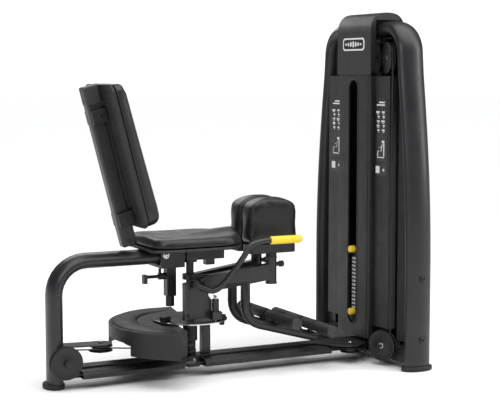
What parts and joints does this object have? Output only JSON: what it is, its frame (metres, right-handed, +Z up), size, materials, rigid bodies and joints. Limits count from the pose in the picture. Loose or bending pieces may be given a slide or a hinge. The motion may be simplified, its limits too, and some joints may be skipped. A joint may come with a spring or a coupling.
{
  "type": "hip abductor machine",
  "caption": "Seated hip abductor machine: swinging thigh pads and foot rollers on arms, geared by a cam and cable to a weight tower with a selector slot.",
  "frame": {"origin": "centre of the footprint, on the floor", "axes": "+X from the seat towards the weight tower, +Y to the sitter's left, +Z up"},
  "size_m": [1.569, 0.829, 1.487],
  "materials": {
    "frame_paint": "fine satin charcoal powder coat",
    "dark_paint": "satin black powder coat",
    "shell_plastic": "finely grained moulded plastic",
    "rubber": "matt black rubber",
    "cable_jacket": "smooth black nylon jacket over steel wire",
    "vinyl": "soft black upholstery vinyl with a fine grain",
    "bright_steel": "polished, lightly worn",
    "cast_plate": "black painted iron",
    "yellow_grip": "smooth yellow grip"
  },
  "bodies": {
    "machine_frame": {"rear_leg": "frame_paint", "rear_rail": "frame_paint", "front_rail": "frame_paint", "front_post": "frame_paint", "back_column": "frame_paint", "tower_frame": "frame_paint", "rear_duct": "dark_paint", "front_duct": "dark_paint", "main_spindle": "dark_paint", "seat_bracket": "dark_paint", "down_tube": "dark_paint", "tower_base_beam": "dark_paint", "top_bridge": "dark_paint", "seat_pan": "shell_plastic", "cam_housing": "shell_plastic", "upper_back_bracket": "shell_plastic", "lower_back_bracket": "shell_plastic", "back_shell": "shell_plastic", "front_cover": "shell_plastic", "rear_cover": "shell_plastic", "tower_hood": "shell_plastic", "side_panel_right": "shell_plastic", "side_panel_left": "shell_plastic", "rear_foot": "rubber", "tower_foot_right": "rubber", "tower_foot_left": "rubber", "drive_cable": "cable_jacket", "stack_cable": "cable_jacket", "seat_cushion": "vinyl", "back_cushion": "vinyl", "guide_rod_right": "bright_steel", "guide_rod_left": "bright_steel"},
    "right_arm": {"right_arm": "frame_paint", "right_pad_base": "shell_plastic", "right_thigh_pad": "vinyl", "right_rear_roller": "rubber", "right_front_roller": "rubber"},
    "left_arm": {"left_arm": "frame_paint", "left_pad_base": "shell_plastic", "left_thigh_pad": "vinyl", "left_rear_roller": "rubber", "left_front_roller": "rubber"},
    "cam": {"cam_sector": "cast_plate", "index_disc": "bright_steel"},
    "weight_stack": {"weight_plates": "cast_plate", "top_plate": "cast_plate"},
    "selector_pin": {"selector_pin": "yellow_grip"},
    "increment_knob": {"increment_knob": "yellow_grip"},
    "range_lever": {"range_lever": "frame_paint", "lever_grip": "yellow_grip"},
    "range_plunger": {"range_plunger": "bright_steel"},
    "right_pull_knob": {"right_pull_knob": "dark_paint"},
    "left_pull_knob": {"left_pull_knob": "dark_paint"},
    "lock_lever": {"lock_lever": "dark_paint"},
    "top_centre_pulley": {"top_centre_pulley": "shell_plastic"},
    "top_side_pulley": {"top_side_pulley": "shell_plastic"},
    "bottom_side_pulley": {"bottom_side_pulley": "shell_plastic"},
    "rear_leg_pulley": {"rear_leg_pulley": "shell_plastic"},
    "front_flat_pulley": {"front_flat_pulley": "shell_plastic"},
    "rear_flat_pulley": {"rear_flat_pulley": "shell_plastic"}
  },
  "joints": [
    {"name": "right_arm_swing", "type": "hinge", "parent": "machine_frame", "child": "right_arm", "pos_m": [-0.1545, 0, 0.4], "axis": [0, 0, -1], "range_deg": [0, 45]},
    {"name": "left_arm_swing", "type": "hinge", "parent": "machine_frame", "child": "left_arm", "pos_m": [-0.1545, 0, 0.36], "axis": [0, 0, 1], "range_deg": [0, 45]},
    {"name": "cam_turn", "type": "hinge", "parent": "machine_frame", "child": "cam", "pos_m": [-0.1545, 0, 0.15], "axis": [0, 0, -1], "range_deg": [0, 45]},
    {"name": "stack_lift", "type": "slide", "parent": "machine_frame", "child": "weight_stack", "axis": [0, 0, 1], "range_m": [0, 0.24], "deforming": ["stack_cable"]},
    {"name": "top_centre_pulley_spin", "type": "hinge", "parent": "machine_frame", "child": "top_centre_pulley", "pos_m": [0.71146, -0.05738, 1.296], "axis": [0.9563, -0.2924, 0], "range_deg": [0, 230]},
    {"name": "top_side_pulley_spin", "type": "hinge", "parent": "machine_frame", "child": "top_side_pulley", "pos_m": [0.66556, -0.20752, 1.296], "axis": [0.9563, -0.2924, 0], "range_deg": [0, 230]},
    {"name": "bottom_side_pulley_spin", "type": "hinge", "parent": "machine_frame", "child": "bottom_side_pulley", "pos_m": [0.63317, -0.22992, 0.086], "axis": [0.9205, 0.3907, 0], "range_deg": [0, 360]},
    {"name": "front_flat_pulley_spin", "type": "hinge", "parent": "machine_frame", "child": "front_flat_pulley", "pos_m": [0.54348, -0.116, 0.058], "axis": [0, 0, 1], "range_deg": [0, 360]},
    {"name": "rear_leg_pulley_spin", "type": "hinge", "parent": "machine_frame", "child": "rear_leg_pulley", "pos_m": [-0.7155, -0.078, 0.11], "axis": [0, 1, 0], "range_deg": [0, 265]},
    {"name": "rear_flat_pulley_spin", "type": "hinge", "parent": "machine_frame", "child": "rear_flat_pulley", "pos_m": [-0.5595, -0.04, 0.15], "axis": [0, 0, 1], "range_deg": [0, 360]},
    {"name": "range_lever_lift", "type": "hinge", "parent": "right_arm", "child": "range_lever", "pos_m": [-0.1835, -0.118, 0.385], "axis": [0, -1, 0], "range_deg": [0, 10]},
    {"name": "range_plunger_lift", "type": "slide", "parent": "right_arm", "child": "range_plunger", "axis": [0, 0, 1], "range_m": [0, 0.0125]},
    {"name": "right_knob_pull", "type": "slide", "parent": "right_arm", "child": "right_pull_knob", "axis": [1, 0, 0], "range_m": [0, 0.008], "stiffness_N_per_m": 600},
    {"name": "left_knob_pull", "type": "slide", "parent": "left_arm", "child": "left_pull_knob", "axis": [1, 0, 0], "range_m": [0, 0.008], "stiffness_N_per_m": 600},
    {"name": "selector_pin_pull", "type": "slide", "parent": "weight_stack", "child": "selector_pin", "axis": [-1, 0, 0], "range_m": [0, 0.055]},
    {"name": "increment_knob_pull", "type": "slide", "parent": "weight_stack", "child": "increment_knob", "axis": [-1, 0, 0], "range_m": [0, 0.012]},
    {"name": "lock_lever_turn", "type": "hinge", "parent": "machine_frame", "child": "lock_lever", "pos_m": [-0.2935, 0, 0.412], "axis": [1, 0, 0], "range_deg": [0, 90]}
  ],
  "couplings": [
    {"joint": "left_arm_swing", "follows": "right_arm_swing", "ratio": 1},
    {"joint": "cam_turn", "follows": "right_arm_swing", "ratio": 1},
    {"joint": "stack_lift", "follows": "right_arm_swing", "m_per_rad": 0.3},
    {"joint": "top_centre_pulley_spin", "follows": "right_arm_swing", "ratio": 5},
    {"joint": "top_side_pulley_spin", "follows": "right_arm_swing", "ratio": 5},
    {"joint": "bottom_side_pulley_spin", "follows": "right_arm_swing", "ratio": 7.8947},
    {"joint": "front_flat_pulley_spin", "follows": "right_arm_swing", "ratio": 7.8947},
    {"joint": "rear_leg_pulley_spin", "follows": "right_arm_swing", "ratio": 5.7692},
    {"joint": "rear_flat_pulley_spin", "follows": "right_arm_swing", "ratio": 7.8947},
    {"joint": "range_plunger_lift", "follows": "range_lever_lift", "m_per_rad": 0.07}
  ]
}
